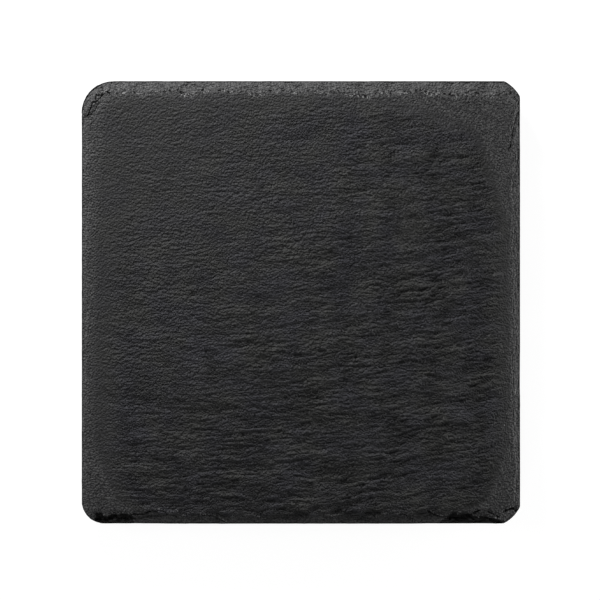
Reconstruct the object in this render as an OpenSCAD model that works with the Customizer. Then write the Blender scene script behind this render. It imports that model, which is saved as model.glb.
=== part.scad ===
// Square drink coaster of natural slate, standing on four self-adhesive foam feet.
// The slab is one piece of stone, split top and bottom. Its edges are dressed by hand:
// chipped to a bevel at the front and the back, rubbed to a soft roll-off at the sides.
// Millimetres. +X is right, +Y is the back, +Z is up. The origin is the middle of the
// slab's outline, on the table that the feet stand on.

/* [Slab] */
// Width of the slab, left to right
slab_width = 100; // [88:1:112]
// Depth of the slab, front to back
slab_depth = 101; // [88:1:113]
// Thickness of the slab between its two split faces
slab_thickness = 5; // [4:0.25:8]

/* [Corners] */
// How far the round back left corner reaches along each side
back_left_reach = 7.3; // [4:0.1:9]
// How far the snapped back right corner reaches along each side
back_right_reach = 3.5; // [2:0.1:9]
// How far the snapped front right corner reaches along each side
front_right_reach = 3.8; // [2:0.1:9]
// How far the front left corner reaches along each side
front_left_reach = 4.5; // [2:0.1:9]

/* [Dressed edges] */
// Width of the chipped bevel along the back, seen from above
back_bevel_width = 2.4; // [1:0.1:4]
// Drop of the back bevel from the top face to the wall
back_bevel_drop = 1.9; // [0.5:0.1:2.5]
// Width of the chipped bevel along the front
front_bevel_width = 2.3; // [1:0.1:4]
// Drop of the front bevel from the top face to the wall
front_bevel_drop = 1.1; // [0.4:0.1:2]
// Width of the soft roll-off along the left side
left_rolloff_width = 4.6; // [2:0.1:5]
// Drop of the left roll-off from the top face to the wall
left_rolloff_drop = 1.2; // [0.4:0.1:2]
// Width of the soft roll-off along the right side
right_rolloff_width = 4.4; // [2:0.1:5]
// Drop of the right roll-off from the top face to the wall
right_rolloff_drop = 1.3; // [0.4:0.1:2]
// Depth of the small ledges that the split layers leave in the wall
wall_ledge = 0.14; // [0:0.01:0.3]
// Size of the broken arris round the underside
lower_arris = 0.6; // [0.2:0.05:0.8]

/* [Chips] */
// Length of the shell-shaped lobes along the chipped edges
lobe_length = 7; // [4:0.5:15]
// Length of the deep chip at the left end of the front edge
front_left_chip_length = 16; // [8:1:24]
// Length of the deep chip at the right end of the front edge
front_right_chip_length = 21; // [8:1:24]
// Width of the deep chips in the front edge, seen from above
front_chip_width = 2.2; // [1:0.1:3]
// How far the deep chips drop below the bevel that they break
front_chip_drop = 1.5; // [0.2:0.1:2]
// Length of each slim chip in the right side
side_chip_length = 11; // [5:1:20]
// Width of the slim chips in the right side, seen from above
side_chip_width = 1.7; // [0.8:0.1:2.5]
// How far the slim chips drop below the roll-off that they break
side_chip_drop = 0.9; // [0.2:0.1:1.5]
// Length of the jagged pit that is broken out of the back left corner
corner_pit_length = 6.8; // [4:0.2:8]
// Width of that pit
corner_pit_width = 1.4; // [0.6:0.1:2]
// Height of the pit's floor below the top face
corner_pit_depth = 1.15; // [0.9:0.05:1.6]
// Distance of the pit's back end in from the left side of the slab
corner_pit_inset_x = 5.1; // [4:0.1:8]
// Distance of the pit's back end in from the back of the slab
corner_pit_inset_y = 2.6; // [2:0.1:4]

/* [Feet] */
// Diameter of each foam foot
foot_diameter = 12; // [8:0.5:16]
// Thickness of each foam foot
foot_thickness = 2; // [1:0.1:4]
// Small round that the die leaves on the foam's lower edge
foot_edge = 0.2; // [0.05:0.05:0.4]
// Distance from the slab's sides to the middle of each foot
foot_setback = 15; // [12:0.5:25]
// Thickness of the double-coated film between a foot and the slab
adhesive_thickness = 0.15; // [0.1:0.01:0.3]
// How far the film stops short of the foam's edge
adhesive_margin = 0.2; // [0:0.05:0.5]

/* [Hidden] */
$fn = 64;

// Sides run front, right, back, left, anticlockwise from above. Corner k ends side k.
corner_signs = [[1, -1], [1, 1], [-1, 1], [-1, -1]];
corner_reaches = [front_right_reach, back_right_reach, back_left_reach, front_left_reach];
// 0 leaves a corner a quarter circle, 1 snaps it off straight
corner_flat_shares = [0.6, 0.65, 0, 0.2];
bevel_widths = [front_bevel_width, right_rolloff_width, back_bevel_width, left_rolloff_width];
bevel_drops = [front_bevel_drop, right_rolloff_drop, back_bevel_drop, left_rolloff_drop];
// 1 is a straight bevel, 2 a roll-off that meets the top face without a crease
bevel_powers = [1, 2, 1.15, 2];
// How far the lobes move the inner edge of each bevel
scallop_shares = [0.3, 0.15, 0.28, 0.1];

// Heights of the stack: foot, adhesive, slab
slab_bottom = foot_thickness + adhesive_thickness;
slab_top = slab_bottom + slab_thickness;
// The most of the slab's thickness that a chip or the arris may take
drop_limit_share = 0.64;
arris_limit_share = 0.2;

// Spacing of the outline's points, and the plain ring where the flat top face begins
point_spacing = 1.3;
face_margin = 0.6;
face_inset = max(bevel_widths) * (1 + max(scallop_shares)) + face_margin;
face_reach = 5;

// Straight and round runs of the outline, measured along the outer edge
function side_length(k) = k % 2 == 0 ? slab_width : slab_depth;
function straight_run(k) =
    side_length(k) - corner_reaches[(k + 3) % 4] - corner_reaches[k];
function corner_run(k) = corner_reaches[k] * PI / 2;
function run_start(k) =
    k == 0 ? 0 : run_start(k - 1) + straight_run(k - 1) + corner_run(k - 1);
perimeter = run_start(4);

// A station is [side, share of its run, 1 on a corner, distance round the outline]
least_corner_points = 4;
function run_points(run) = max(least_corner_points, round(run / point_spacing));
function stations_on(k, corner, run, start) =
    let (count = run_points(run))
    [for (j = [0:count - 1]) [k, j / count, corner, start + run * j / count]];
stations = [
    for (k = [0:3])
    each concat(
        stations_on(k, 0, straight_run(k), run_start(k)),
        stations_on(k, 1, corner_run(k), run_start(k) + straight_run(k))
    )
];

// The outline, moved in by inset, at a station
function reach_at(k, inset) =
    corner_reaches[k] + (face_reach - corner_reaches[k]) * inset / face_inset;
function corner_middle(k, inset) =
    let (edge = inset + reach_at(k, inset))
    [
        corner_signs[k][0] * (slab_width / 2 - edge),
        corner_signs[k][1] * (slab_depth / 2 - edge)
    ];
function arc_point(k, inset, share) =
    let (turn = 90 * (k + share - 1))
    corner_middle(k, inset) + reach_at(k, inset) * [cos(turn), sin(turn)];
function between(a, b, share) = a * (1 - share) + b * share;
function corner_point(k, inset, share) =
    between(
        arc_point(k, inset, share),
        between(arc_point(k, inset, 0), arc_point(k, inset, 1), share),
        corner_flat_shares[k]
    );
function side_point(k, inset, share) =
    between(arc_point((k + 3) % 4, inset, 1), arc_point(k, inset, 0), share);
function outline_point(st, inset) =
    st[2] == 0 ? side_point(st[0], inset, st[1]) : corner_point(st[0], inset, st[1]);

// A value that is given for each side, blended through the corners
function ease(share) = share * share * (3 - 2 * share);
function by_side(values, st) =
    st[2] == 0
        ? values[st[0]]
        : between(values[st[0]], values[(st[0] + 1) % 4], ease(st[1]));

// Random values round the outline: wave runs smoothly between -1 and 1, and lobe
// rises from 0 and falls back to it like the scar of one struck flake
least_lobe_share = 0.45;
lobe_seed = 12;
lobe_values = rands(least_lobe_share, 1, round(perimeter / lobe_length), lobe_seed);
wave_length_share = 0.6;
wave_count = round(perimeter / (lobe_length * wave_length_share));
function waves(count, seed) = rands(-1, 1, count, seed);
width_waves = waves(wave_count, 31);
drop_waves = waves(wave_count, 47);
foot_waves = waves(wave_count, 53);
wall_waves = waves(wave_count * 2, 71);
function cell_share(values, st) = st[3] / perimeter * len(values);
function wave(values, st) =
    let (place = cell_share(values, st), i = floor(place))
    between(values[i], values[(i + 1) % len(values)], ease(place - i));
function lobe(values, st) =
    let (place = cell_share(values, st), i = floor(place))
    values[i] * sin(180 * (place - i));

// Chips: side, place along it as a share of half its length, length, width, drop.
// Places run left to right on the front and front to back on the right side.
front_left_chip_share = -0.76;
front_right_chip_share = 0.71;
side_chip_shares = [-0.32, 0.8];
chips = concat(
    [
        [0, front_left_chip_share, front_left_chip_length, front_chip_width, front_chip_drop],
        [0, front_right_chip_share, front_right_chip_length, front_chip_width, front_chip_drop]
    ],
    [for (place = side_chip_shares) [1, place, side_chip_length, side_chip_width, side_chip_drop]]
);
chip_ramp_share = 0.35;
function window(share) = share >= 1 ? 0 : ease(min(1, (1 - share) / chip_ramp_share));
function along_side(st) = outline_point(st, 0)[st[0] % 2];
function chip_window(st, chip) =
    st[2] == 1 || st[0] != chip[0]
        ? 0
        : window(abs(along_side(st) - chip[1] * side_length(chip[0]) / 2) / (chip[2] / 2));
function chip_drop(st, inset) =
    max([
        for (chip = chips)
        chip[4] * chip_window(st, chip) * max(0, 1 - inset / chip[3])
    ]);

// The pit's outline from its back end, as shares of its length and its width
pit_turn = 238;
pit_outline_shares = [
    [0, 0.1], [0.16, -0.42], [0.3, -0.2], [0.42, -0.5], [0.62, -0.34], [1, -0.1],
    [0.78, 0.34], [0.55, 0.3], [0.4, 0.5], [0.2, 0.28]
];
cut_overrun = 1;

// Shape of the bevel: its width, and its drop below the top face at an inset
drop_wave_share = 0.12;
width_wave_share = 0.33;
lobe_centre_share = 0.33;
function bevel_width(st) =
    by_side(bevel_widths, st) * (1 + by_side(scallop_shares, st)
        * (lobe(lobe_values, st) - lobe_centre_share + width_wave_share * wave(width_waves, st)));
function bevel_drop(st, inset) =
    by_side(bevel_drops, st) * (1 + drop_wave_share * wave(drop_waves, st))
    * pow(max(0, 1 - inset / bevel_width(st)), by_side(bevel_powers, st));
function top_height(st, inset) =
    slab_top - min(
        drop_limit_share * slab_thickness,
        bevel_drop(st, inset) + chip_drop(st, inset)
    );

// The arris and the ledges of the wall
arris_wave_share = 0.3;
wall_middle_share = 0.45;
function arris_at(st) =
    min(lower_arris, arris_limit_share * slab_thickness)
    * (1 - arris_wave_share + arris_wave_share * wave(foot_waves, st));
function ledge_at(st, turn) = wall_ledge * (1 + turn * wave(wall_waves, st)) / 2;
function wall_height(st, share) =
    between(slab_bottom + arris_at(st), top_height(st, 0), share);

// The rings of the slab's skin, from the underside, up the wall, to the top face
inner_ring_share = 0.62;
outer_ring_share = 0.3;
function raised(point, height) = [point[0], point[1], height];
function ring(k, st) =
    k == 0 ? raised(outline_point(st, face_inset), slab_bottom)
    : k == 1 ? raised(outline_point(st, arris_at(st)), slab_bottom)
    : k == 2 ? raised(outline_point(st, 0), slab_bottom + arris_at(st))
    : k == 3 ? raised(outline_point(st, ledge_at(st, 1)), wall_height(st, wall_middle_share))
    : k == 4 ? raised(outline_point(st, ledge_at(st, -1)), top_height(st, 0))
    : k == 5 ? bevel_point(st, outer_ring_share)
    : k == 6 ? bevel_point(st, inner_ring_share)
    : k == 7 ? raised(outline_point(st, bevel_width(st)), slab_top)
    : raised(outline_point(st, face_inset), slab_top);
function bevel_point(st, share) =
    let (inset = bevel_width(st) * share)
    raised(outline_point(st, inset), top_height(st, inset));

module slate_slab() {
    last_ring = 8;
    count = len(stations);
    points = concat(
        [for (k = [0:last_ring]) each [for (st = stations) ring(k, st)]],
        [[0, 0, slab_bottom], [0, 0, slab_top]]
    );
    bottom_middle = len(points) - 2;
    top_middle = len(points) - 1;
    top_ring = last_ring * count;
    skin = [
        for (k = [0:last_ring - 1])
        for (i = [0:count - 1])
        let (a = k * count + i, b = k * count + (i + 1) % count)
        each [[a, a + count, b + count], [a, b + count, b]]
    ];
    bottom = [for (i = [0:count - 1]) [i, (i + 1) % count, bottom_middle]];
    top = [for (i = [0:count - 1]) [top_ring + (i + 1) % count, top_ring + i, top_middle]];
    color("#343537")
    difference() {
        polyhedron(points, concat(skin, bottom, top));
        corner_pit();
    }
}

// The pit has steep sides and a flat floor, because slate breaks along its layers
module corner_pit() {
    place = [
        corner_pit_inset_x - slab_width / 2,
        slab_depth / 2 - corner_pit_inset_y,
        slab_top - corner_pit_depth
    ];
    outline = [for (p = pit_outline_shares) [p[0] * corner_pit_length, p[1] * corner_pit_width]];
    translate(place)
    rotate(pit_turn)
    linear_extrude(corner_pit_depth + cut_overrun)
    polygon(outline);
}

// One die-cut disc of closed-cell foam, with a slightly rounded lower edge
module foot_pad(x, y) {
    color("#1c1c1e")
    translate([x, y, 0])
    rotate_extrude()
    polygon([
        [0, 0],
        [foot_diameter / 2 - foot_edge, 0],
        [foot_diameter / 2, foot_edge],
        [foot_diameter / 2, foot_thickness],
        [0, foot_thickness]
    ]);
}

// The double-coated film that holds a foot to the slab
module foot_adhesive(x, y) {
    color("#d8d4c8")
    translate([x, y, foot_thickness])
    cylinder(h = adhesive_thickness, d = foot_diameter - 2 * adhesive_margin);
}

foot_x = slab_width / 2 - foot_setback;
foot_y = slab_depth / 2 - foot_setback;

slate_slab();
foot_pad(-foot_x, -foot_y);  // foot_pad_front_left
foot_pad(foot_x, -foot_y);  // foot_pad_front_right
foot_pad(-foot_x, foot_y);  // foot_pad_back_left
foot_pad(foot_x, foot_y);  // foot_pad_back_right
foot_adhesive(-foot_x, -foot_y);  // foot_adhesive_front_left
foot_adhesive(foot_x, -foot_y);  // foot_adhesive_front_right
foot_adhesive(-foot_x, foot_y);  // foot_adhesive_back_left
foot_adhesive(foot_x, foot_y);  // foot_adhesive_back_right
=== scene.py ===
import math
import random
import bmesh
import bpy
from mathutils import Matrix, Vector, noise
from mathutils.bvhtree import BVHTree


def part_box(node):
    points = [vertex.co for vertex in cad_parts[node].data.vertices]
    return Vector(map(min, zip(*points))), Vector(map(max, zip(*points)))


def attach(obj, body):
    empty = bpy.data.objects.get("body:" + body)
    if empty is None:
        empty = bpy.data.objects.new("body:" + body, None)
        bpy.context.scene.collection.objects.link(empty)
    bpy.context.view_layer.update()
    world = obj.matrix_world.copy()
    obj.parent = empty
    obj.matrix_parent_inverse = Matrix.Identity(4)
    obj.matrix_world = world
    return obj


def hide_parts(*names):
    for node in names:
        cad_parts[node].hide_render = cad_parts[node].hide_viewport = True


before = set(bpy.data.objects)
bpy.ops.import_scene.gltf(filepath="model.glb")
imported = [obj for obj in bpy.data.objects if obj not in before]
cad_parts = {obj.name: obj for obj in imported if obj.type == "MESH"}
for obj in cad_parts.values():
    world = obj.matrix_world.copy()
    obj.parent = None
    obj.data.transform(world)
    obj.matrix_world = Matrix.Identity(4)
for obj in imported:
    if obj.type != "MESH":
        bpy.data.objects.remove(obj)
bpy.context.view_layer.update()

# Slate slab. One piece of natural slate, split along its layers top and bottom. Its edges
# are dressed by hand: struck along the back and the front, which breaks shell-shaped
# flakes off, and rubbed down to a soft roll-off along the two sides.
MM = 0.001
# Places and lengths on the slab are in mm until its mesh is done. Places are counted from
# its middle, and heights from the table. A side is given as the way out from it.
slab_low, slab_high = (Vector(corner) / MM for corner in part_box("slate_slab"))
slab_thickness = slab_high.z - slab_low.z
BACK, FRONT, LEFT, RIGHT = (0, 1), (0, -1), (-1, 0), (1, 0)


def wander(x, y, size, seed):
    """Smooth random value between about -1 and 1, with features of a size in mm."""
    return noise.noise(Vector((x / size, y / size, seed)))


def ease(share):
    """Smooth step that is 0 up to a share of 0, and 1 from a share of 1 on."""
    share = min(max(share, 0), 1)
    return share * share * (3 - 2 * share)


# Scars of struck flakes. A scar's shape is the slope and the drop of the scarp round it,
# the slope of its floor, how dark the painted shadow line under its rim is, and whether the
# rim crumbles into notches darkened with painted shade and pale bruises that also serve as
# painted highlights.
DRESSED = (2, 0.28, 0.5, 0, True)
GENTLE = (0.3, 0.12, 0.2, 0.15, False)
LEDGE = (2, 0.35, 0.25, 0.6, False)
SPLINTER = (1.2, 0.2, 0.35, 0.4, False)
# Rows of scars: where along the side a row starts and ends, then the least and the most
# of a scar's bite into the face, of its half length and of the step to the next scar.
SCAR_ROWS = (
    (BACK, DRESSED, -42, 48, (2.7, 3.9), (3.2, 6), (3, 6.5)),
    (FRONT, GENTLE, -47, 47, (1, 4), (2.5, 4.5), (2.5, 5)),
)
# Single scars: the place along the side, the bite and the half length of each.
SINGLE_SCARS = (
    (FRONT, LEDGE, (
        (-37.2, 3, 2.2), (-34, 3.1, 2.6), (-30.2, 2.2, 2.8), (-24, 2.2, 2.4), (-19, 2.4, 2.6),
        (-16.8, 1.2, 1.6), (14, 2.3, 3), (26, 1.8, 2), (29.2, 2.7, 2.4), (32.4, 2.3, 2),
    )),
    (RIGHT, SPLINTER, (
        (39, 0.9, 4.4), (26, 0.6, 3.4), (11, 0.7, 4), (-3, 0.6, 3), (-19, 1, 3.4),
        (-33, 0.6, 3),
    )),
)
rng = random.Random(11)
scars = []


def strike(side, place, bite, half_length, shape):
    """Adds the round scar that one blow leaves at a place along a side."""
    radius = (half_length * half_length + bite * bite) / (2 * bite)
    out = (slab_high.x if side[0] else slab_high.y) - bite + radius
    middle_x = side[0] * out + abs(side[1]) * place
    middle_y = side[1] * out + abs(side[0]) * place
    scars.append((middle_x, middle_y, radius, *shape))


for side, shape, place, row_end, bites, half_lengths, steps in SCAR_ROWS:
    while place < row_end:
        strike(side, place, rng.uniform(*bites), rng.uniform(*half_lengths), shape)
        place += rng.uniform(*steps)
for side, shape, blows in SINGLE_SCARS:
    for place, bite, half_length in blows:
        strike(side, place, bite, half_length, shape)

# No scar reaches further in from the outline than its zone. The rims wander by up to
# this, and the painted shadow line lies this far inside a rim.
SCAR_ZONE = 5.5
RIM_WANDER = 0.5
SHADOW_LINE_PLACE, SHADOW_LINE_WIDTH = 0.12, 0.2
# Where a rim crumbles, notches with painted shade lie up to this far inside it, and
# bruises, which also serve as painted highlights, lie along it.
NOTCH_ZONE, NOTCH_DEPTH, NOTCH_SIZE = 0.8, 0.3, 0.6
BRUISE_HIGHLIGHT_PLACE, BRUISE_HIGHLIGHT_WIDTH, BRUISE_HIGHLIGHT_SPACING = 0.1, 0.6, 3


def scar_work(x, y):
    """How deep the struck flakes bite below the top face at a place, how much painted
    shade darkens their rims there, and how pale their rims are, from bruises and painted
    highlights."""
    depth = dark = 0
    nearest = -1
    wobble = 0.3 * wander(x, y, 1.6, 41) + 0.2 * wander(x, y, 0.7, 42)
    for middle_x, middle_y, radius, scarp, drop, floor, line, crumbles in scars:
        span = radius + RIM_WANDER
        if abs(x - middle_x) < span and abs(y - middle_y) < span:
            inside = radius - math.hypot(x - middle_x, y - middle_y) + wobble
            if crumbles:
                nearest = max(nearest, inside)
            bitten = min(inside * scarp, drop + inside * floor)
            if inside > 0 and bitten > depth:
                depth = bitten
                dark = line * ease(1 - abs(inside - SHADOW_LINE_PLACE) / SHADOW_LINE_WIDTH)
    # Notches sink into the rim and are darkened with painted shade; bruises beside them are
    # pale, partly as painted highlights.
    notch = ease((wander(x, y, NOTCH_SIZE, 43) - 0.12) / 0.1)
    notch *= ease((nearest + 0.15) / 0.2) * ease((NOTCH_ZONE - nearest) / 0.3)
    bruise_highlight = 0.7 * ease(1 - abs(nearest - BRUISE_HIGHLIGHT_PLACE) / BRUISE_HIGHLIGHT_WIDTH)
    bruise_highlight *= ease(0.4 + 2 * wander(x, y, BRUISE_HIGHLIGHT_SPACING, 48))
    return depth + NOTCH_DEPTH * notch, max(dark, 0.85 * notch), bruise_highlight * (1 - notch)


# Torn stretches of the front edge, where deep chips broke away and left a ragged, nearly
# upright scarp, painted dark as its shadow. Each mark is a place along the edge and the
# tear's bite into the face.
TEARS = (
    ((-47.4, 0.9), (-46.5, 2.5), (-45.7, 2.7), (-45, 1.9), (-44.4, 1.7), (-43.7, 2),
     (-43.1, 2.6), (-41.5, 2.4), (-39.4, 2.4), (-38.7, 1.9), (-38, 0.6)),
    ((31.6, 0.6), (33.4, 1.6), (34.6, 2.6), (36.6, 2.5), (38, 2.6), (38.8, 2.1), (40.4, 1.5),
     (41, 2.1), (42.3, 1.9), (43.5, 1.6), (44.8, 1.2), (46, 0.7)),
)
# No tear reaches further in than this. Its shape is the slope and the drop of its scarp
# and the slope of its floor, as a scar's is.
TEAR_ZONE = 3.5
TEAR_SLOPE, TEAR_DROP, TEAR_FLOOR = 4, 1.1, 0.3
CRUMB_SIZE, CRUMB_HEIGHT = 1, 0.9


def torn_work(x, y):
    """How deep the torn stretches are below the top face, how much painted shadow darkens
    them, and how pale their rims are, as a painted highlight. Crumbs of stone stand up from
    the floor under the scarp, and less shadow is painted on them."""
    gap = y - slab_low.y
    for marks in TEARS:
        if gap < TEAR_ZONE and marks[0][0] < x < marks[-1][0]:
            step = next(n for n in range(1, len(marks)) if x <= marks[n][0])
            (start, low_bite), (end, high_bite) = marks[step - 1], marks[step]
            bite = low_bite + (high_bite - low_bite) * (x - start) / (end - start)
            ragged = 0.4 * wander(x, y, 0.6, 44) + 0.2 * wander(x, y, 1.5, 45)
            inside = bite - gap + ragged
            crumb = ease(3 * wander(x, y * 1.6, CRUMB_SIZE, 46) - 0.2) * ease(inside - 0.2)
            floor = TEAR_DROP + inside * TEAR_FLOOR - CRUMB_HEIGHT * crumb
            depth = max(0, min(inside * TEAR_SLOPE, floor))
            # The tear is painted dark as shadow, less so on the crumbs, and its rim gets a
            # pale painted highlight.
            dark = ease(inside * 8) * (0.95 - 0.7 * crumb)
            return depth, dark, 0.6 * ease(1 - abs(inside + 0.15) / 0.25)
    return 0, 0, 0


# Cracks that edge loose flakes, and two wide shallow dips beside the left tear that carry
# painted shade: their half width and depth, then places along each.
CRACKS = (
    (0.27, 0.26, ((49.5, 43.4), (48.5, 40.2), (48, 37.5), (47.6, 35))),
    (0.25, 0.2, ((48.1, 47.2), (49.6, 45.8))),
    (0.2, 0.11, ((48.7, 29), (48.3, 24.5), (48.8, 20))),
    (0.2, 0.11, ((48.3, 14), (48.6, 10), (49.2, 5))),
    (0.22, 0.14, ((49.6, -18.2), (48.4, -23.4))),
    (0.22, 0.13, ((47.6, -23), (46.4, -28.9))),
    (0.26, 0.4, ((42.9, -47.8), (44, -48.3), (45, -48.9))),
    (0.26, 0.35, ((40.6, -47.3), (39.2, -48.1), (38.4, -48.3))),
    (0.3, 0.4, ((46.2, -47.7), (47.3, -47.1), (48.6, -46.9), (49.2, -47.8))),
    (0.26, 0.22, ((28.9, -47.5), (30.2, -48.2), (32, -48.9), (33.4, -48.8), (34.5, -48.1))),
    (0.24, 0.16, ((21.9, -48.4), (23.6, -48.3), (25.4, -49.4))),
    (0.26, 0.22, ((-35.8, -47.9), (-34.5, -47.6), (-31.7, -47.5), (-30.6, -47.9))),
    (0.22, 0.16, ((-30.6, -48.4), (-28.3, -48.5))),
    (0.24, 0.24, ((-38.6, -48.2), (-36.6, -48.3), (-34.8, -48))),
    (0.6, 0.2, ((-38.7, -48.9), (-37.6, -49.3))),
    (0.65, 0.17, ((-37.2, -49.3), (-36.2, -49.1), (-34.6, -48.7), (-31.4, -48.5))),
    (0.24, 0.18, ((-25.1, -49.9), (-23, -48.7), (-20.1, -48.6), (-17.3, -50))),
    (0.2, 0.1, ((-31, -46.3), (-28.4, -47.3), (-26.8, -48.8))),
)
cracks = [
    (*start, end[0] - start[0], end[1] - start[1], half_width, depth)
    for half_width, depth, places in CRACKS
    for start, end in zip(places, places[1:])
]
# A crack acts no further off than its reach. Its painted shade is its depth times this, and
# its inner edge has a pale lip, a painted highlight.
CRACK_REACH = 0.7
PAINTED_CRACK_SHADE = 3.2
LIP_SHARE, LIP_WIDTH = 1.4, 0.22


def segment_distance(x, y, start_x, start_y, way_x, way_y):
    """Distance of a place from the straight line between two others."""
    share = ((x - start_x) * way_x + (y - start_y) * way_y) / (way_x * way_x + way_y * way_y)
    share = min(max(share, 0), 1)
    return math.hypot(x - start_x - share * way_x, y - start_y - share * way_y)


def crack_work(x, y):
    """How deep the cracks go at a place, their painted shade, and their lips' painted
    highlight.
    """
    deepest = dark = pale = 0
    for start_x, start_y, way_x, way_y, half_width, depth in cracks:
        off_x = abs(2 * (x - start_x) - way_x) - abs(way_x)
        off_y = abs(2 * (y - start_y) - way_y) - abs(way_y)
        if max(off_x, off_y) < 2 * CRACK_REACH:
            wobble = 0.12 * wander(x, y, 0.9, 47)
            distance = segment_distance(x, y, start_x, start_y, way_x, way_y) + wobble
            share = ease(1.3 - 1.3 * distance / half_width)
            deepest, dark = max(deepest, depth * share), max(dark, share * PAINTED_CRACK_SHADE * depth)
            left = (x - start_x) * way_y < (y - start_y) * way_x
            inward = left == (-start_x * way_y < -start_y * way_x)
            lip = ease(1 - abs(distance - LIP_SHARE * half_width) / LIP_WIDTH)
            pale = max(pale, lip * inward * min(1, PAINTED_CRACK_SHADE * depth))
    return deepest, dark, pale * (1 - dark)


# Pit of the flake that is broken out of the back left corner: a jagged sliver. It is
# deepest along its steep rim, and the stone just outside the rim stands up as a lip. Shade
# is painted into its groove, and a highlight onto the right side of its lip.
PIT_RIM = [Vector(place) for place in (
    (-44.6, 47.6), (-45.6, 47.3), (-46.7, 47.3), (-47, 46.3), (-46.6, 45.8), (-47.5, 45.6),
    (-47.9, 44.4), (-48.8, 42.2), (-47.8, 42.8), (-46.8, 43.6), (-46.3, 44.8), (-45.9, 45.4),
    (-46.1, 45.9), (-45.5, 46.7)
)]
# No part of it is further from its middle than this. It has a groove along its rim that
# goes this much deeper than its floor, a steep side of this width, and a lip this high.
PIT_REACH = 4.2
PIT_GROOVE, PIT_FLOOR, PIT_SIDE, PIT_LIP = 0.16, 0.1, 0.13, 0.04
GROOVE_WIDTH, PIT_LIP_WIDTH = 0.2, 0.3
pit_sides = [
    (*start, *(end - start)) for start, end in zip(PIT_RIM, PIT_RIM[1:] + PIT_RIM[:1])
]
pit_middle = sum(PIT_RIM, Vector((0, 0))) / len(PIT_RIM)


def pit_work(place):
    """How deep the pit is below the edge round it, its groove's painted shade, and its lip's
    painted highlight.
    """
    if (place - pit_middle).length > PIT_REACH:
        return 0, 0, 0
    distance = min(segment_distance(*place, *side) for side in pit_sides)
    crossed = [
        side
        for side in pit_sides
        if (side[1] > place.y) != (side[1] + side[3] > place.y)
        and place.x < side[0] + side[2] * (place.y - side[1]) / side[3]
    ]
    if len(crossed) % 2 == 0:
        lip = ease(1 - distance / PIT_LIP_WIDTH)
        # Only the lip's right side is painted pale, as a highlight where the light from the
        # back left catches it.
        return -PIT_LIP * lip, 0, 0.4 * lip * (place.x > pit_middle.x)
    groove = ease(1 - (distance - PIT_SIDE) / GROOVE_WIDTH)
    floor = PIT_FLOOR + 0.08 * wander(*place, 0.5, 61)
    # The groove is painted dark as shade.
    return ease(distance / PIT_SIDE) * (PIT_GROOVE * groove + floor), 0.9 * groove, 0


# Mean thickness of the layers that the slate breaks along.
LAYER = 0.36


def stepped(value, riser):
    """A value that climbs in whole steps, each over a share of the way to the next."""
    whole = math.floor(value)
    return whole + ease((value - whole - (1 - riser) / 2) / riser)


def layered(depth, x, y):
    """A depth that comes down in steps, as slate breaks along its layers."""
    layer = LAYER * (1 + 0.35 * wander(x, y, 6, 3) + 0.25 * wander(x, y, 1.8, 5))
    return layer * stepped(depth / layer, 0.4)


# Length and spacing of the split face's fine and coarse ridges, of its broken layers and
# of its swells, then the height of each. They climb to the right, the more so further
# right, and are rougher towards the right front corner.
FINE, COARSE, TERRACES, SWELLS = (2.4, 0.62), (10, 1.2), (12, 2.4), (16, 7)
FINE_HEIGHT, COARSE_HEIGHT, TERRACE_HEIGHT, SWELL_HEIGHT = 0.11, 0.08, 0.05, 0.07
FINE_SLANT = 0.3
CLIMB, CLIMB_GAIN = 0.03, 0.0012
ROUGH_FROM, ROUGH_SPAN = -40, 80


def ripple(x, y):
    """Relief of the split face: short wavy ridges that run across the slab, over broad
    shallow swells. Also how far a place lies in one of their hollows, where shade is painted
    into the stone's colour."""
    climb = CLIMB + CLIMB_GAIN * (x - slab_low.x)
    across = y - climb * x + 1.1 * wander(x, y, 14, 1) + 0.35 * wander(x, y, 4.5, 2)
    fine = wander(x / FINE[0] - across * FINE_SLANT, across / FINE[1], 1, 4)
    coarse = 2.4 * abs(wander(x / COARSE[0], across / COARSE[1], 1, 6)) - 1
    terrace = stepped(4 * wander(x / TERRACES[0], across / TERRACES[1], 1, 15), 0.3)
    swell = wander(x / SWELLS[0], across / SWELLS[1], 1, 7)
    rough = 1 + 0.5 * wander(x, y, 9, 13) + 0.5 * ease((x - y - ROUGH_FROM) / ROUGH_SPAN)
    relief = rough * (FINE_HEIGHT * fine + COARSE_HEIGHT * coarse + TERRACE_HEIGHT * terrace)
    # The second value is the painted shade of the ripples' hollows.
    return relief + SWELL_HEIGHT * swell, 0.5 * rough * ease(-0.5 * fine - 0.9 * coarse)


def grain_relief(x, y):
    """Relief of the rubbed or broken stone, without direction."""
    return (
        0.02 * wander(x, y, 0.7, 8)
        + 0.03 * wander(x, y, 2.1, 9)
        + 0.06 * wander(x, y, 6, 10)
    )


# The split face is rubbed along its sides: wholly up to the first distance from a side's
# edge, and not any more from the second on.
FADES = ((BACK, 2, 9), (RIGHT, 1.6, 8), (LEFT, 1.6, 12), (FRONT, -0.6, 2.4))
# At the back right corner and at the two front ones the rubbing reaches further in. Each
# has how much further, then where that starts, counted along both axes, and its span.
BACK_CORNER, FRONT_CORNERS = (9, 60, 28), (6, 77, 14)
# Round the back left corner the face is calm: by how much, how far, and with what fade.
CALM_SHARE, CALM_REACH, CALM_FADE = 0.8, 8, 75
CALM_MIDDLE = Vector((-50, 50))
# All sides sink a little more towards their edges than the solid does, from the first
# distance to the second. They have sunk by their own depth after the span.
ROLLS = ((BACK, 0.2), (RIGHT, 0.18), (LEFT, 0.02), (FRONT, 0.2))
ROLL_FROM, ROLL_TO, ROLL_SPAN = 7.2, 1.4, 5
# The front's bevel has only this share of the solid's depth. The change comes in over
# this length, and starts as far in front of the middle.
FRONT_SHARE, FRONT_FADE = 0.8, 20
# The stone looks broken from this depth on, and shows its layers there by this share.
BROKEN_DEPTH, LAYERED_SHARE = 0.25, 0.35
# The face stays this far below the solid's, so that its crests reach no higher.
TOP_ALLOWANCE = 0.13


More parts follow.
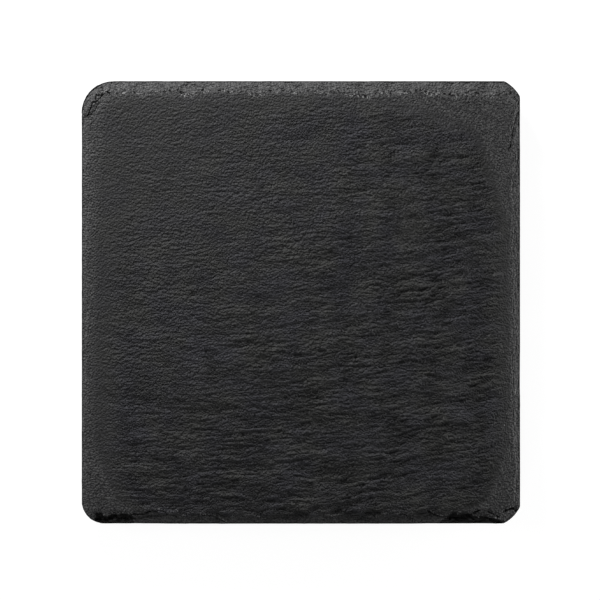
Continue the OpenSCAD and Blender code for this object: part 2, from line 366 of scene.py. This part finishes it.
def edge_distance(x, y):
    """Distance of a place from the nearest side of the slab."""
    return min(slab_high.x - abs(x), slab_high.y - abs(y))


def side_gap(side, x, y):
    """Distance of a place from one side of the slab."""
    return abs(side[0]) * slab_high.x + abs(side[1]) * slab_high.y - side[0] * x - side[1] * y


def split_share(x, y):
    """1 where the face still is as it was split, 0 where it is rubbed or broken."""
    further, start, span = BACK_CORNER
    worn = further * ease((x + y - start) / span)
    further, start, span = FRONT_CORNERS
    worn += further * ease((abs(x) - y - start) / span)
    calm_way = math.hypot(x - CALM_MIDDLE.x, y - CALM_MIDDLE.y)
    share = 1 - CALM_SHARE * ease(1 - (calm_way - CALM_REACH) / CALM_FADE)
    for side, start, end in FADES:
        share *= ease((side_gap(side, x, y) - worn - start) / (end - start))
    return share


def roll_depth(x, y):
    """How much further than the solid the face has sunk towards its sides."""
    depth = 0
    for side, sink in ROLLS:
        gap = min(max(side_gap(side, x, y), ROLL_TO), ROLL_FROM)
        depth += sink * ((ROLL_FROM - gap) / ROLL_SPAN) ** 2
    return depth


def top_work(x, y, solid_top):
    """Height of the finished top at a place, given the plain solid's height there, how
    deep the stone is torn, how much painted shade its ripple hollows get, how much painted
    shade darkens it in cracks, tears and under rims, and how pale it is, from bruises and
    painted highlights."""
    depth = slab_high.z - solid_top
    depth *= 1 - (1 - FRONT_SHARE) * ease(-1 - y / FRONT_FADE)
    torn = cracked = dark = pale = 0
    if edge_distance(x, y) < SCAR_ZONE:
        scar, dark, pale = scar_work(x, y)
        torn, torn_dark, torn_pale = torn_work(x, y)
        depth = max(depth, scar, torn)
        cracked, crack_dark, lip = crack_work(x, y)
        dark = max(dark, crack_dark, torn_dark)
        pale = max(pale, lip, torn_pale)
    broken = ease(depth / BROKEN_DEPTH)
    if depth > 0:
        depth += LAYERED_SHARE * broken * (layered(depth, x, y) - depth)
    rippled = split_share(x, y)
    ripples, hollow_shade = ripple(x, y)
    relief = rippled * ripples + (1 - 0.7 * rippled) * grain_relief(x, y)
    relief += broken * 0.03 * wander(x, y, 0.9, 12) - cracked - roll_depth(x, y)
    height = min(slab_high.z - TOP_ALLOWANCE - depth + relief, slab_high.z)
    return height, torn, rippled * hollow_shade, dark, pale


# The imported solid, which gives the slab's outline, its bevels and its wall. Its outline is
# taken low on the wall. What a look from above meets below the wall's middle isn't its top.
slab_solid = BVHTree.FromObject(
    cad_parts["slate_slab"], bpy.context.evaluated_depsgraph_get()
)
OUTLINE_LEVEL = slab_low.z + 0.14 * slab_thickness
WALL_MIDDLE = slab_low.z + 0.3 * slab_thickness
# The flat face ends this far in from the outline, with corners of this reach.
FACE_INSET, FACE_REACH = 5.4, 5.5
# The solid's top is looked up this far in from its rim, or further in where that misses.
RIM_CLEARANCES = (0.2, 0.45, 0.8)
# The solid's own pit is plain and straight. The stone is bridged across it.
SOLID_PIT_END = Vector((slab_low.x + 5.1, slab_high.y - 2.6))
SOLID_PIT_LENGTH, SOLID_PIT_MARGIN, PIT_BRIDGE = 7.4, 0.5, 1.2
PIT_TURN = math.radians(238)
pit_along = Vector((math.cos(PIT_TURN), math.sin(PIT_TURN)))
pit_across = Vector((-pit_along.y, pit_along.x))


def wall_at(face_point, out, height):
    """Where the solid's wall stands beyond a point of the face's edge, at a height."""
    start = Vector((*(face_point + out * 3 * FACE_INSET), height))
    hit = slab_solid.ray_cast(start * MM, Vector((-out.x, -out.y, 0)))[0]
    return (hit / MM).xy


def top_at(place):
    """Height of the solid's top at a place, or None beyond its outline."""
    start = Vector((*place, slab_high.z + slab_thickness))
    hit = slab_solid.ray_cast(start * MM, Vector((0, 0, -1)))[0]
    return hit.z / MM if hit and hit.z / MM > WALL_MIDDLE else None


def bridged_top_at(place):
    """The same, but bridged across the solid's own pit."""
    way = place - SOLID_PIT_END
    aside = way.dot(pit_across)
    if -SOLID_PIT_MARGIN < way.dot(pit_along) < SOLID_PIT_LENGTH and abs(aside) < PIT_BRIDGE:
        sides = [top_at(place + pit_across * (turn * PIT_BRIDGE - aside)) for turn in (-1, 1)]
        if all(sides):
            return (sides[0] + sides[1]) / 2
    return top_at(place)


def rim_top(middle, face_point, inset):
    """Height of the solid's top at a share of the way in from its wall to the face's
    edge, taken from as close to the rim as the solid reaches there."""
    for clearance in RIM_CLEARANCES:
        height = bridged_top_at(middle.lerp(face_point, max(inset, clearance / FACE_INSET)))
        if height:
            return height


# The underside is split too, but stays flat where the feet are stuck on.
foot_boxes = [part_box(name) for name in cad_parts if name.startswith("foot_pad")]
foot_middles = [(Vector(low) + Vector(high)).xy / 2 / MM for low, high in foot_boxes]
foot_radius = (foot_boxes[0][1][0] - foot_boxes[0][0][0]) / 2 / MM
FOOT_MARGIN, FOOT_FADE = 0.4, 3
UNDER_RELIEF = 0.16


def under_height(place):
    """Height of the underside at a place."""
    clear = min((place - middle).length for middle in foot_middles) - foot_radius - FOOT_MARGIN
    relief = UNDER_RELIEF + UNDER_RELIEF * wander(place.x / 2.2, place.y, 3.4, 51)
    return slab_low.z + ease(clear / FOOT_FADE) * relief


# The slab starts as a cube from -1 to 1, whose points keep their order as they move: its
# top becomes the face, its bottom the underside, and its sides the bevels and the wall.
# These are the shares of the way down its sides where the wall starts and ends.
WALL_TOP_SHARE, WALL_FOOT_SHARE = 0.7, 0.92
# The bands of the bevels are closer together near the rim, by this power.
BAND_POWER = 1.25
# The underside ends this far in from the outline, and its arris is broken by this much.
UNDERSIDE_INSET = 3.0
ARRIS = 0.5
# The outermost share of the bevel looks like the wall.
DARK_RIM = 0.06
# The wall isn't looked up nearer than this to its rim.
RIM_GAP = 0.05
FACE_HALVES = (slab_high.x - FACE_INSET, slab_high.y - FACE_INSET)
UNDERSIDE_HALVES = (slab_high.x - UNDERSIDE_INSET, slab_high.y - UNDERSIDE_INSET)
# Two values as near as this count as the same.
NEAR = 1e-5


def ring_place(u, v, half_x, half_y, reach):
    """A point of the square block, moved to the same place on a rectangle with round
    corners, and the way out from there."""
    ring = max(abs(u), abs(v))
    ring_x, ring_y, radius = half_x * ring, half_y * ring, max(reach * ring * ring, NEAR)
    x, y = abs(u) * half_x, abs(v) * half_y
    way_x, way_y = (x - ring_x + radius) / radius, (y - ring_y + radius) / radius
    if way_x > 0 and way_y > 0 and ring > 0:
        turn = math.radians(45 * (1 + min(way_y, 1) - min(way_x, 1)))
        out = Vector((math.cos(turn), math.sin(turn)))
        x, y = ring_x - radius + radius * out.x, ring_y - radius + radius * out.y
    else:
        out = Vector((1, 0)) if way_x > way_y else Vector((0, 1))
    signs = (math.copysign(1, u), math.copysign(1, v))
    return Vector((x * signs[0], y * signs[1])), Vector((out.x * signs[0], out.y * signs[1]))


# What the stone's material asks of a point: whether its face is split, 1, or rubbed, 0;
# how broken it is, from 1 on a bevel to 2 on the wall; whether it lies in a hollow of the
# ripples, where shade is painted; how much painted shade darkens it, in a crack, a tear,
# the pit or under a scar's rim; and how pale it is, where it was bruised or has a painted
# highlight on a rim or lip.
LOOKS = ("split", "broken", "hollow_shade", "dark", "pale")


def bevel_point(face_point, middle, inset):
    """A point of the dressed edge, at a share of the way in from the wall to the face."""
    place = middle.lerp(face_point, inset)
    # The solid is looked up a little aside, which gives its plain chips ragged edges.
    shift = Vector((wander(*place, 1.3, 21), wander(*place, 1.3, 22))) * 0.15
    shift *= ease(inset * 4)
    solid_top = rim_top(middle + shift, face_point + shift, inset)
    height, torn, hollow_shade, dark, pale = top_work(*place, solid_top)
    pit, pit_dark, lip = pit_work(place)
    height -= pit
    # The stone looks the more broken the deeper it lies, and like the wall where it is torn.
    bevelled = ease((slab_high.z - height - 0.3) / 0.6)
    bevelled += max(ease((DARK_RIM - inset) / 0.05), ease(torn))
    looks = (split_share(*place), bevelled, hollow_shade, max(dark, pit_dark), max(pale, lip))
    return Vector((*place, height)), looks


def wall_point(face_point, out, rim, chip, share):
    """A point of the wall, at a share of the way down from its rim to the broken arris.
    The ends of the layers stand out as small ledges."""
    height = rim + (slab_low.z + chip - rim) * share
    place = wall_at(face_point, out, min(height, rim - RIM_GAP))
    ledge = 0.11 * (1 + wander(place.x + place.y, height * 6, 3.5, 31))
    ledge += 0.05 * (1 + wander(place.x + place.y, height * 3, 0.8, 32))
    fade = ease(share * 3) * ease((1 - share) * 4)
    return Vector((*(place - out * ledge * fade), height)), (0, 2, 0, 0, 0)


def stone_point(u, v, w):
    """The place on the slab of a point of the cube, and its looks there."""
    face_point, out = ring_place(u, v, *FACE_HALVES, FACE_REACH)
    if w > 1 - NEAR:
        height, _, hollow_shade, dark, pale = top_work(*face_point, slab_high.z)
        return Vector((*face_point, height)), (split_share(*face_point), 0, hollow_shade, dark, pale)
    under_point = ring_place(u, v, *UNDERSIDE_HALVES, FACE_REACH)[0]
    if w < NEAR - 1:
        return Vector((*under_point, under_height(under_point))), (1, 0, 0, 0, 0)
    way = (1 - w) / 2
    middle = wall_at(face_point, out, OUTLINE_LEVEL)
    if way < WALL_TOP_SHARE:
        return bevel_point(face_point, middle, (1 - way / WALL_TOP_SHARE) ** BAND_POWER)
    rim = top_work(*middle, rim_top(middle, face_point, 0))[0]
    chip = ARRIS * (1 + 0.5 * wander(middle.x + middle.y, 0, 2.4, 33))
    if way < WALL_FOOT_SHARE:
        share = (way - WALL_TOP_SHARE) / (WALL_FOOT_SHARE - WALL_TOP_SHARE)
        return wall_point(face_point, out, rim, chip, share)
    # Below the wall the broken arris leads in to the underside.
    share = (way - WALL_FOOT_SHARE) / (1 - WALL_FOOT_SHARE)
    place = (middle - out * chip).lerp(under_point, share)
    return Vector((*place, under_height(place))), (share, 2 - 2 * share, 0, 0, 0)


# The cube is cut into this many cells along X, Y and Z. All but its underside is then cut
# in two each way, twice, and the bands along the back and the front once more along X.
COLUMNS, ROWS, BANDS = 40, 88, 7
FINER_CUTS = 2
block = bmesh.new()
bmesh.ops.create_cube(block, size=2)
for axis, cells in enumerate((COLUMNS, ROWS, BANDS)):
    cut = [
        edge
        for edge in block.edges
        if abs(edge.verts[0].co[axis] - edge.verts[1].co[axis]) > 1
    ]
    bmesh.ops.subdivide_edges(block, edges=cut, cuts=cells - 1, use_grid_fill=True)
for _ in range(FINER_CUTS):
    upper = {
        edge
        for face in block.faces
        if face.calc_center_median().z > NEAR - 1
        for edge in face.edges
    }
    bmesh.ops.subdivide_edges(block, edges=list(upper), cuts=1, use_grid_fill=True)
struck = [
    edge
    for edge in block.edges
    if all(abs(vert.co.y) > 1 - NEAR and vert.co.z > NEAR - 1 for vert in edge.verts)
    and abs(edge.verts[0].co.x - edge.verts[1].co.x) > NEAR
]
bmesh.ops.subdivide_edges(block, edges=struck, cuts=1, use_grid_fill=True)

# The corner with the pit is cut once more. It is looked for in this outer share.
CORNER_SHARE = 0.7
corner_verts = {
    vert
    for vert in block.verts
    if vert.co.x < -CORNER_SHARE and vert.co.y > CORNER_SHARE and vert.co.z > NEAR - 1
    and (stone_point(*vert.co)[0].xy - pit_middle).length < PIT_REACH
}
pitted = [edge for edge in block.edges if corner_verts.issuperset(edge.verts)]
bmesh.ops.subdivide_edges(block, edges=pitted, cuts=1, use_grid_fill=True)

look_layers = [block.verts.layers.float.new(name) for name in LOOKS]
for vert in block.verts:
    vert.co, looks = stone_point(*vert.co)
    for layer, value in zip(look_layers, looks):
        vert[layer] = value

slab_mesh = bpy.data.meshes.new("slate_slab_stone")
bmesh.ops.recalc_face_normals(block, faces=block.faces)
bmesh.ops.scale(block, vec=(MM, MM, MM), verts=block.verts)
for face in block.faces:
    face.smooth = True
block.to_mesh(slab_mesh)
block.free()
slab = bpy.data.objects.new("slate_slab_stone", slab_mesh)
bpy.context.scene.collection.objects.link(slab)


def linear(hex_colour):
    """An sRGB hex colour as the linear colour that a socket takes."""
    shares = [int(hex_colour[i:i + 2], 16) / 255 for i in (1, 3, 5)]
    return [s / 12.92 if s <= 0.04045 else ((s + 0.055) / 1.055) ** 2.4 for s in shares] + [1]


def add(material, kind, inputs=(), **settings):
    """Adds a node. inputs pairs a socket's name or number with an output, an sRGB hex
    colour or another value."""
    node = material.node_tree.nodes.new(kind)
    for name, value in settings.items():
        setattr(node, name, value)
    for socket, value in dict(inputs).items():
        if isinstance(value, bpy.types.NodeSocket):
            material.node_tree.links.new(value, node.inputs[socket])
        elif isinstance(value, str):
            node.inputs[socket].default_value = linear(value)
        else:
            node.inputs[socket].default_value = value
    return node


# Slate, split and left matt: a fine-grained dark grey stone, cloudy from a blue to a brown
# cast where it is rough, and greyer where it is calm. It is paler where it is rubbed or
# freshly struck, and pale painted highlights lie along rims and lips. It is darker on the
# wall, and painted shade darkens its ripple hollows, cracks, tears and pit. Fine waves
# cross the split face, and its layers show wherever it is broken.
# Its real grains, of a few hundredths of a mm, are too fine to show, so they are drawn as
# coarse as they need to be. Sizes of its patterns and the height of its relief, in mm:
CLOUDS, PATCHES = 7, 9
GRAIN, GRIT, WAVES, SHEETS = 0.36, 0.4, 0.6, 0.3
SLATE_RELIEF = 0.74
slate = bpy.data.materials.new("slate_split_matt")
slate.use_nodes = True
slate.node_tree.nodes.clear()
spot = add(slate, "ShaderNodeTexCoord").outputs["Object"]
split, broken, hollow_shade, dark, pale = (
    add(slate, "ShaderNodeAttribute", attribute_name=name).outputs["Fac"] for name in LOOKS
)
# The layers lie flat. The waves are stretched along the ridges and turned with them.
layer_place = add(
    slate, "ShaderNodeMapping", {"Vector": spot, "Scale": (0.1, 0.1, 1.4)}
).outputs[0]
wave_place = add(
    slate,
    "ShaderNodeMapping",
    {"Vector": spot, "Rotation": (0, 0, math.radians(-3)), "Scale": (0.45, 1, 1)},
).outputs[0]
clouds, patches, grain, grit, waves, sheets = (
    add(
        slate,
        "ShaderNodeTexNoise",
        {"Vector": place, "Scale": 1 / (size * MM), "Detail": detail, "Roughness": 0.4},
    ).outputs[0]
    for place, size, detail in (
        (spot, CLOUDS, 3), (spot, PATCHES, 0), (spot, GRAIN, 0), (spot, GRIT, 0),
        (wave_place, WAVES, 0), (layer_place, SHEETS, 1),
    )
)
# Stone that is split, rubbed, freshly broken, and on the wall. Each goes from a darker
# colour to a paler one between two ends of a pattern: the rubbed and the broken stone are
# speckled with crushed pale grains, and the wall is streaked along its layers.
split_colour, rubbed_colour, broken_colour, wall_colour = (
    add(
        slate,
        "ShaderNodeMix",
        {
            0: add(slate, "ShaderNodeMapRange", {0: pattern, 1: low, 2: high}).outputs[0],
            6: darker,
            7: paler,
        },
        data_type="RGBA",
    ).outputs[2]
    for pattern, low, high, darker, paler in (
        (clouds, 0.38, 0.62, "#303034", "#343433"),
        (grain, 0.3, 0.7, "#272728", "#474747"),
        (grain, 0.3, 0.7, "#2b2b2c", "#515151"),
        (sheets, 0.35, 0.65, "#141415", "#2b2b2c"),
    )
)
# Bruises are pale specks, the thicker the harder the stone was struck there; they also
# serve as painted highlights along rims and lips. The grain also makes the edges of the
# dark marks of painted shade ragged.
bruises_and_highlights, marks = (
    add(
        slate, "ShaderNodeMath", {0: value, 1: factor, 2: base}, operation="MULTIPLY_ADD"
    ).outputs[0]
    for value, factor, base in ((pale, 0.25, grain), (grain, 0.6, dark))
)
# Shares from a value: the value's low and high ends, then the share at either. They are
# how strongly bruises and painted highlights show, the heights of the grit, of the waves
# and of the layers, and the roughness.
bruise_highlight_share, grit_height, wave_height, sheet_height, roughness = (
    add(
        slate, "ShaderNodeMapRange", {0: value, 1: low, 2: high, 3: start, 4: end}
    ).outputs[0]
    for value, low, high, start, end in (
        (pale, 0, 0.3, 0, 0.7),
        (split, 0.3, 1, 0.42, 0.95),
        (patches, 0.35, 0.65, 0.45, 1.15),
        (broken, 0, 2, 0, 1.4),
        (grit, 0.3, 0.7, 0.55, 0.7),
    )
)
# The colours are laid one over another, in the same way: grey on the calm part of the
# face, rubbed stone, broken stone, the wall, painted shade in the hollows, bruises with
# painted highlights, and dark marks of painted shade.
stone_colour = split_colour
for value, low, high, start, end, colour in (
    (split, 0.3, 0.9, 0.7, 0, "#323232"),
    (split, 0, 0.08, 1, 0, rubbed_colour),
    (broken, 0, 1, 0, 1, broken_colour),
    (broken, 1, 2, 0, 1, wall_colour),
    # Painted shade in the ripples' hollows.
    (hollow_shade, 0, 1, 0, 1, "#0b0b0c"),
    # Bruises, partly painted highlights along rims and lips.
    (bruises_and_highlights, 0.66, 0.74, 0, bruise_highlight_share, "#767676"),
    # Painted shade in cracks, tears, the pit and under scar rims.
    (marks, 0.66, 0.86, 0, 1, "#050505"),
):
    share = add(
        slate, "ShaderNodeMapRange", {0: value, 1: low, 2: high, 3: start, 4: end}
    ).outputs[0]
    stone_colour = add(
        slate, "ShaderNodeMix", {0: share, 6: stone_colour, 7: colour}, data_type="RGBA"
    ).outputs[2]
# The waves lie on the split face only, and thicker in some patches than in others.
wave_height = add(
    slate, "ShaderNodeMath", {0: split, 1: wave_height}, operation="MULTIPLY"
).outputs[0]
height = 0
for pattern, factor in ((grit, grit_height), (waves, wave_height), (sheets, sheet_height)):
    height = add(
        slate, "ShaderNodeMath", {0: pattern, 1: factor, 2: height}, operation="MULTIPLY_ADD"
    ).outputs[0]
grain_bump = add(
    slate,
    "ShaderNodeBump",
    {"Height": height, "Strength": 1, "Distance": SLATE_RELIEF * MM},
)
slate_shader = add(
    slate,
    "ShaderNodeBsdfPrincipled",
    {
        "Base Color": stone_colour,
        "Roughness": roughness,
        "Specular IOR Level": 0.12,
        "Normal": grain_bump.outputs[0],
    },
)
add(slate, "ShaderNodeOutputMaterial", {0: slate_shader.outputs[0]})
slab.data.materials.append(slate)
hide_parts("slate_slab")
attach(slab, "root")

# Foam feet. Four discs die-cut from a sheet of black closed-cell EVA foam. The die presses
# in, so it rounds the edge where it enters and leaves the cut side slightly hollow, with
# the foam's fine cells open. Each is stuck on with a disc of milky double-coated film.
FOAM_CELL, FOAM_RELIEF, FOAM_CLOUDS = 0.35, 0.08, 2
foam = bpy.data.materials.new("eva_foam_die_cut")
foam.use_nodes = True
foam.node_tree.nodes.clear()
spot = add(foam, "ShaderNodeTexCoord").outputs["Object"]
cells = add(
    foam, "ShaderNodeTexVoronoi", {"Vector": spot, "Scale": 1 / (FOAM_CELL * MM)}
).outputs["Distance"]
clouds = add(
    foam,
    "ShaderNodeTexNoise",
    {"Vector": spot, "Scale": 1 / (FOAM_CLOUDS * MM), "Detail": 2, "Roughness": 0.4},
).outputs[0]
foam_colour = add(
    foam, "ShaderNodeMix", {0: clouds, 6: "#19191b", 7: "#232325"}, data_type="RGBA"
).outputs[2]
# The open cells are darkened, as painted shade in their hollows.
cell_shade_share = add(
    foam, "ShaderNodeMapRange", {0: cells, 1: 0.1, 2: 0.5, 3: 0.35, 4: 0}
).outputs[0]
foam_colour = add(
    foam, "ShaderNodeMix", {0: cell_shade_share, 6: foam_colour, 7: "#0c0c0d"}, data_type="RGBA"
).outputs[2]
foam_bump = add(
    foam, "ShaderNodeBump", {"Height": cells, "Strength": 1, "Distance": FOAM_RELIEF * MM}
)
foam_shader = add(
    foam,
    "ShaderNodeBsdfPrincipled",
    {
        "Base Color": foam_colour,
        "Roughness": 0.9,
        "Specular IOR Level": 0.3,
        "Normal": foam_bump.outputs[0],
    },
)
add(foam, "ShaderNodeOutputMaterial", {0: foam_shader.outputs[0]})

# Acrylic film, cast with adhesive on both faces: milky, and faintly creased where it was
# pressed on.
FILM_CREASE, FILM_RELIEF = 1.5, 0.05
film = bpy.data.materials.new("acrylic_adhesive_film")
film.use_nodes = True
film.node_tree.nodes.clear()
spot = add(film, "ShaderNodeTexCoord").outputs["Object"]
creases = add(
    film,
    "ShaderNodeTexNoise",
    {"Vector": spot, "Scale": 1 / (FILM_CREASE * MM), "Detail": 2, "Roughness": 0.4},
).outputs[0]
film_colour = add(
    film, "ShaderNodeMix", {0: creases, 6: "#bfb9a6", 7: "#d3cebf"}, data_type="RGBA"
).outputs[2]
film_bump = add(
    film, "ShaderNodeBump", {"Height": creases, "Strength": 1, "Distance": FILM_RELIEF * MM}
)
film_shader = add(
    film,
    "ShaderNodeBsdfPrincipled",
    {
        "Base Color": film_colour,
        "Roughness": 0.4,
        "Normal": film_bump.outputs[0],
    },
)
add(film, "ShaderNodeOutputMaterial", {0: film_shader.outputs[0]})

FOOT_SEGMENTS, FOOT_RINGS, FOOT_ROUND_STEPS = 96, 6, 4
FOOT_ROUND, FOOT_WAIST = 0.2 * MM, 0.12 * MM
for end in ("front_left", "front_right", "back_left", "back_right"):
    low, high = (Vector(corner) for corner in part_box("foot_pad_" + end))
    middle = (low + high) / 2
    radius = (high.x - low.x) / 2
    disc = bmesh.new()
    bmesh.ops.create_cone(
        disc,
        cap_ends=True,
        segments=FOOT_SEGMENTS,
        radius1=radius,
        radius2=radius,
        depth=high.z - low.z,
    )
    upright = [
        edge for edge in disc.edges if abs(edge.verts[0].co.z - edge.verts[1].co.z) > MM
    ]
    bmesh.ops.subdivide_edges(disc, edges=upright, cuts=FOOT_RINGS - 1, use_grid_fill=True)
    for vert in disc.verts:
        share = 2 * vert.co.z / (high.z - low.z)
        vert.co.xy *= 1 - FOOT_WAIST / radius * (1 - share * share)
    lower = min(vert.co.z for vert in disc.verts)
    bmesh.ops.bevel(
        disc,
        geom=[e for e in disc.edges if all(v.co.z < lower + NEAR for v in e.verts)],
        offset=FOOT_ROUND,
        segments=FOOT_ROUND_STEPS,
        profile=0.5,
        material=-1,
        affect="EDGES",
    )
    for face in disc.faces:
        face.smooth = abs(face.normal.z) < 0.99
    bmesh.ops.translate(disc, vec=middle, verts=disc.verts)
    mesh = bpy.data.meshes.new("foam_foot_" + end)
    disc.to_mesh(mesh)
    disc.free()
    foot = bpy.data.objects.new("foam_foot_" + end, mesh)
    bpy.context.scene.collection.objects.link(foot)
    foot.data.materials.append(foam)
    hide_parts("foot_pad_" + end)
    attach(foot, "root")
    film_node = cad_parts["foot_adhesive_" + end]
    film_node.data.materials.clear()
    film_node.data.materials.append(film)

# Table. A white floor just under the feet, 6 m square. Seen by the camera it is plain
# white, and it still darkens a little where the coaster keeps the light off it.
FLOOR_HALF, FLOOR_GAP = 3, 0.02 * MM
FLOOR_GLOW = 0.94
floor_grid = bmesh.new()
bmesh.ops.create_grid(floor_grid, x_segments=1, y_segments=1, size=FLOOR_HALF)
bmesh.ops.translate(floor_grid, vec=(0, 0, -FLOOR_GAP), verts=floor_grid.verts)
floor_mesh = bpy.data.meshes.new("studio_floor")
floor_grid.to_mesh(floor_mesh)
floor_grid.free()
floor = bpy.data.objects.new("studio_floor", floor_mesh)
bpy.context.scene.collection.objects.link(floor)
white = bpy.data.materials.new("studio_white")
white.use_nodes = True
white.node_tree.nodes.clear()


def seen_light(material, seen_strength, other_strength):
    """Strength for camera, glossy and transmission rays, then for all others."""
    path = add(material, "ShaderNodeLightPath").outputs
    seen = path["Is Camera Ray"]
    for ray in ("Is Glossy Ray", "Is Transmission Ray"):
        seen = add(
            material, "ShaderNodeMath", {0: seen, 1: path[ray]}, operation="MAXIMUM"
        ).outputs[0]
    return add(
        material,
        "ShaderNodeMix",
        {0: seen, 2: other_strength, 3: seen_strength},
        data_type="FLOAT",
    ).outputs[0]


glow = add(
    white, "ShaderNodeEmission", {0: "#ffffff", 1: seen_light(white, FLOOR_GLOW, 0)}
).outputs[0]
paper = add(white, "ShaderNodeBsdfDiffuse", {0: "#777777"}).outputs[0]
both = add(white, "ShaderNodeAddShader", {0: glow, 1: paper}).outputs[0]
add(white, "ShaderNodeOutputMaterial", {0: both})
floor.data.materials.append(white)

# Room. White where the camera sees it. Reflections see its white walls under a dark
# ceiling, as in a studio, and it gives the coaster only a weak even light.
CEILING_FROM, CEILING_TO = 0.25, 0.6
ROOM_LIGHT = 0.06
world = bpy.data.worlds.new("studio_room")
bpy.context.scene.world = world
world.use_nodes = True
world.node_tree.nodes.clear()
ways = add(world, "ShaderNodeTexCoord").outputs["Generated"]
way_up = add(world, "ShaderNodeSeparateXYZ", {0: ways}).outputs["Z"]
walls = add(
    world,
    "ShaderNodeMapRange",
    {0: way_up, 1: CEILING_FROM, 2: CEILING_TO, 3: 1, 4: 0},
    interpolation_type="SMOOTHSTEP",
).outputs[0]
camera_ray = add(world, "ShaderNodeLightPath").outputs["Is Camera Ray"]
room = add(
    world, "ShaderNodeMath", {0: camera_ray, 1: walls}, operation="MAXIMUM"
).outputs[0]
sky = add(
    world, "ShaderNodeBackground", {0: "#ffffff", 1: seen_light(world, room, ROOM_LIGHT)}
).outputs[0]
add(world, "ShaderNodeOutputWorld", {0: sky})

# Lamps. Soft boxes stand low round the coaster, the strongest behind it, so that light
# rakes over the ripples from the back. Each aims at the middle of the top.
LAMP_WIDTH, LAMP_HEIGHT = 0.12, 0.04
target = Vector((0, 0, slab_high.z * MM))
# A lamp's turn round the slab and its rise are in degrees, its distance in metres and its
# power in watts.
for name, turn, rise, distance, power in (
    ("key_back", 112, 19, 0.3, 1.48),
    ("side_left", 180, 30, 0.3, 0.21),
    ("side_right", 0, 5, 0.3, 0.76),
    ("fill_front", 265, 22, 0.4, 0.24),
):
    lamp = bpy.data.lights.new(name, "AREA")
    lamp.shape = "RECTANGLE"
    lamp.size, lamp.size_y = LAMP_WIDTH, LAMP_HEIGHT
    lamp.energy = power
    stand = bpy.data.objects.new(name, lamp)
    bpy.context.scene.collection.objects.link(stand)
    turn, rise = math.radians(turn), math.radians(rise)
    way = Vector(
        (math.cos(turn) * math.cos(rise), math.sin(turn) * math.cos(rise), math.sin(rise))
    )
    stand.location = target + way * distance
    stand.rotation_euler = way.to_track_quat("Z", "Y").to_euler()
    stand.visible_camera = False

# Camera. A long lens straight above the coaster, with the back edge at the top of the
# picture. It is as far up as in a product studio, and the lens makes the slab as wide in
# the picture as it is in the photograph. Lengths are in metres, but the sensor's is in mm.
PICTURE_PIXELS, SLAB_PIXELS = 600, 437.9
CENTRE_PIXEL_X, CENTRE_PIXEL_Y = 300.95, 302.3
CAMERA_HEIGHT = 1.2
CLIP_NEAR, CLIP_FAR = 0.01, 10
SENSOR_WIDTH = 36
pixel = (slab_high.x - slab_low.x) / SLAB_PIXELS * MM
lens = bpy.data.cameras.new("camera")
lens.sensor_width = SENSOR_WIDTH
outline_distance = CAMERA_HEIGHT + (slab_high.z - OUTLINE_LEVEL) * MM
lens.lens = SENSOR_WIDTH * outline_distance / (PICTURE_PIXELS * pixel)
lens.clip_start, lens.clip_end = CLIP_NEAR, CLIP_FAR
camera = bpy.data.objects.new("camera", lens)
bpy.context.scene.collection.objects.link(camera)
camera.location = (
    (PICTURE_PIXELS / 2 - CENTRE_PIXEL_X) * pixel,
    (CENTRE_PIXEL_Y - PICTURE_PIXELS / 2) * pixel,
    slab_high.z * MM + CAMERA_HEIGHT,
)
bpy.context.scene.camera = camera
bpy.context.scene.view_settings.view_transform = "Standard"
